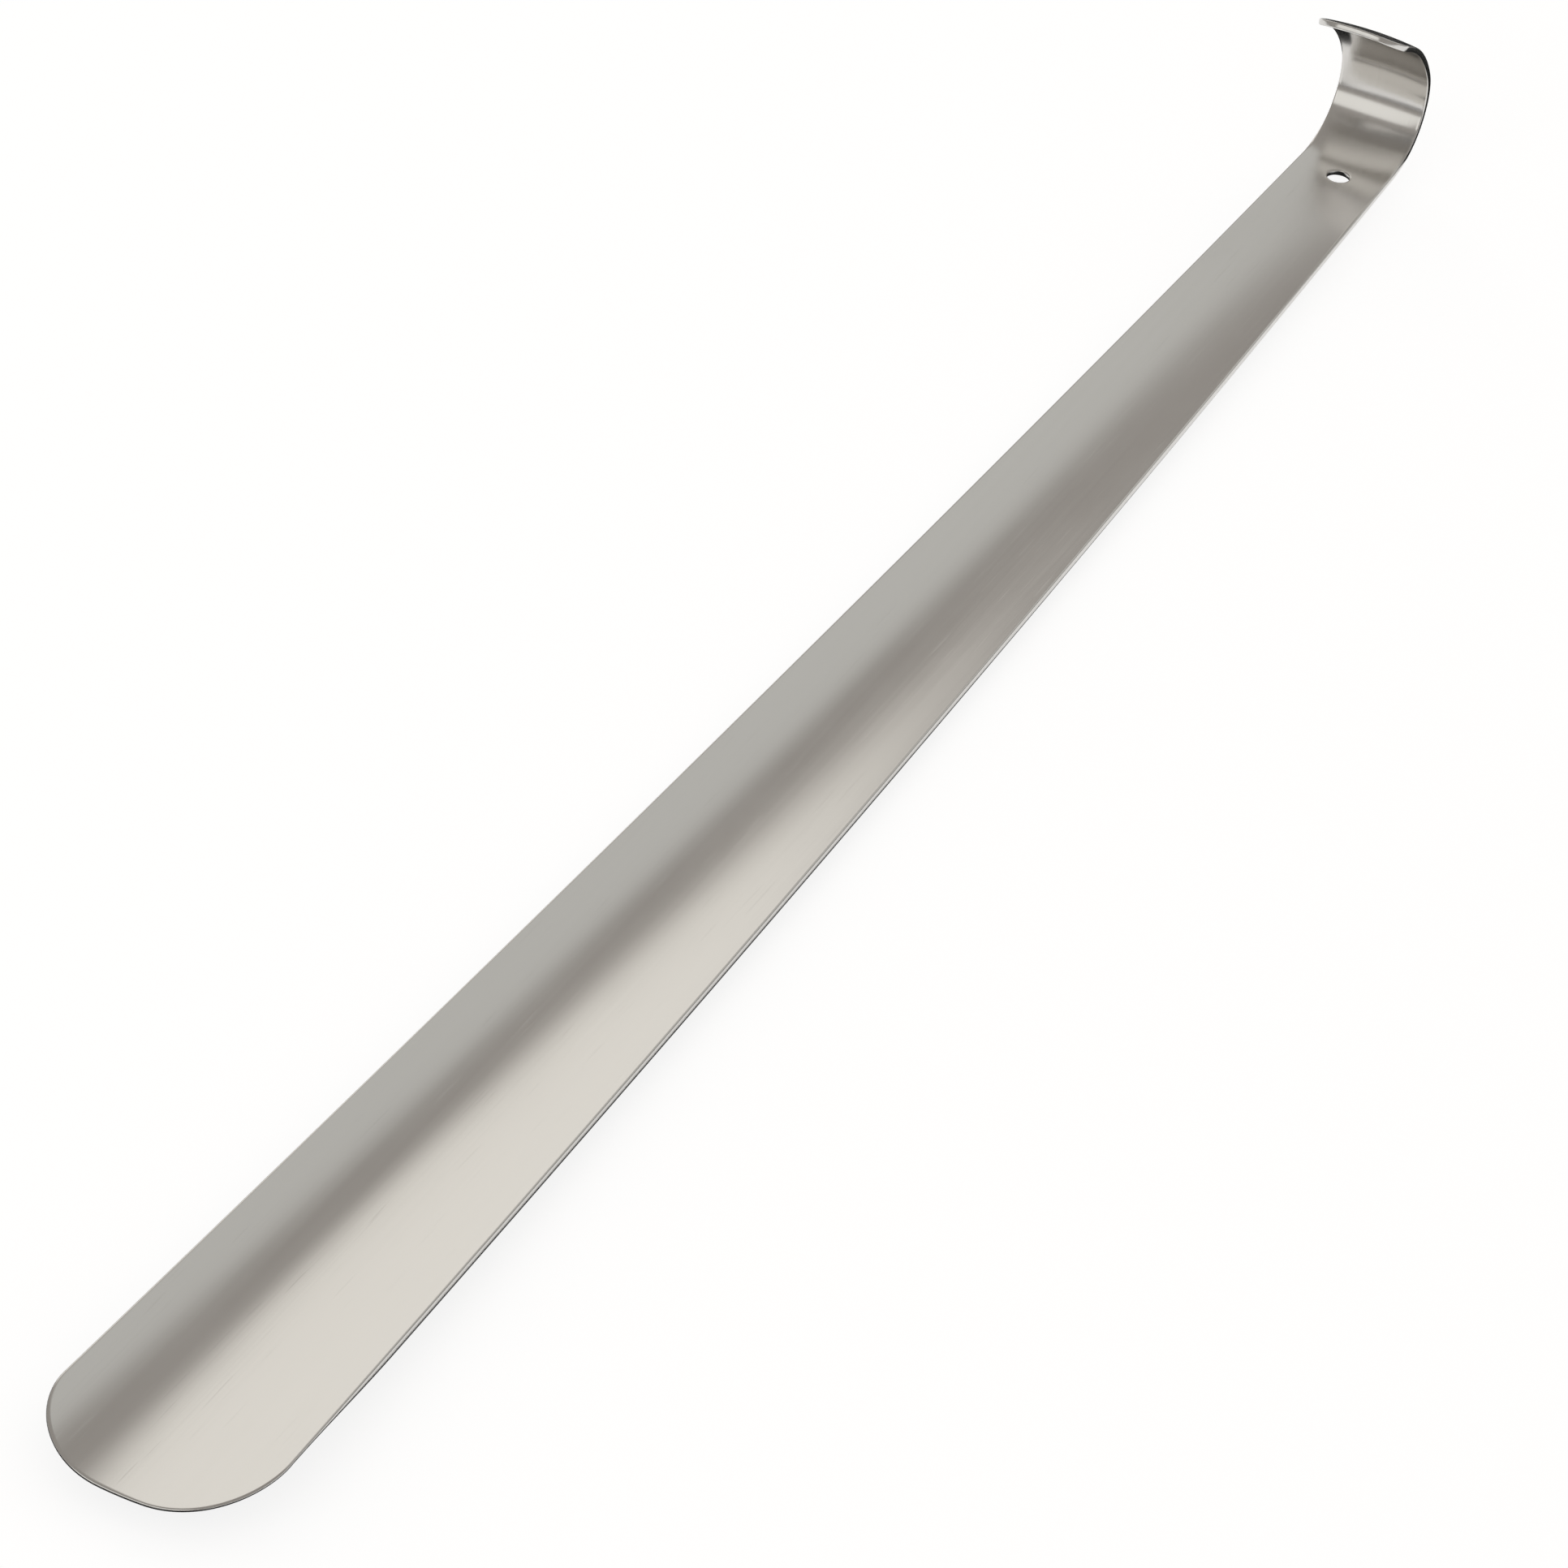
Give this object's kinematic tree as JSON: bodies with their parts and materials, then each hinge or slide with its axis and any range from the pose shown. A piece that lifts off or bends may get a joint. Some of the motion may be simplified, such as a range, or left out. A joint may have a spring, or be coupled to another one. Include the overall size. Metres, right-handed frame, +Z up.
{
  "type": "long shoehorn",
  "caption": "Long stainless shoehorn: a shallow tapering trough of sheet steel with a rounded tip, a hanging hole and a hook bent at the handle end.",
  "frame": {"origin": "middle of the object's box in X and Y, on the surface that the convex back rests on", "axes": "+Z up, out of the trough's open side; +Y from the tip to the hook; +X to the right of someone who looks from the tip to the hook"},
  "size_m": [0.0474, 0.6, 0.0486],
  "materials": {
    "steel": "satin stainless steel, finely brushed along the strip, edges deburred"
  },
  "bodies": {
    "root": {"shoehorn": "steel"}
  },
  "joints": []
}
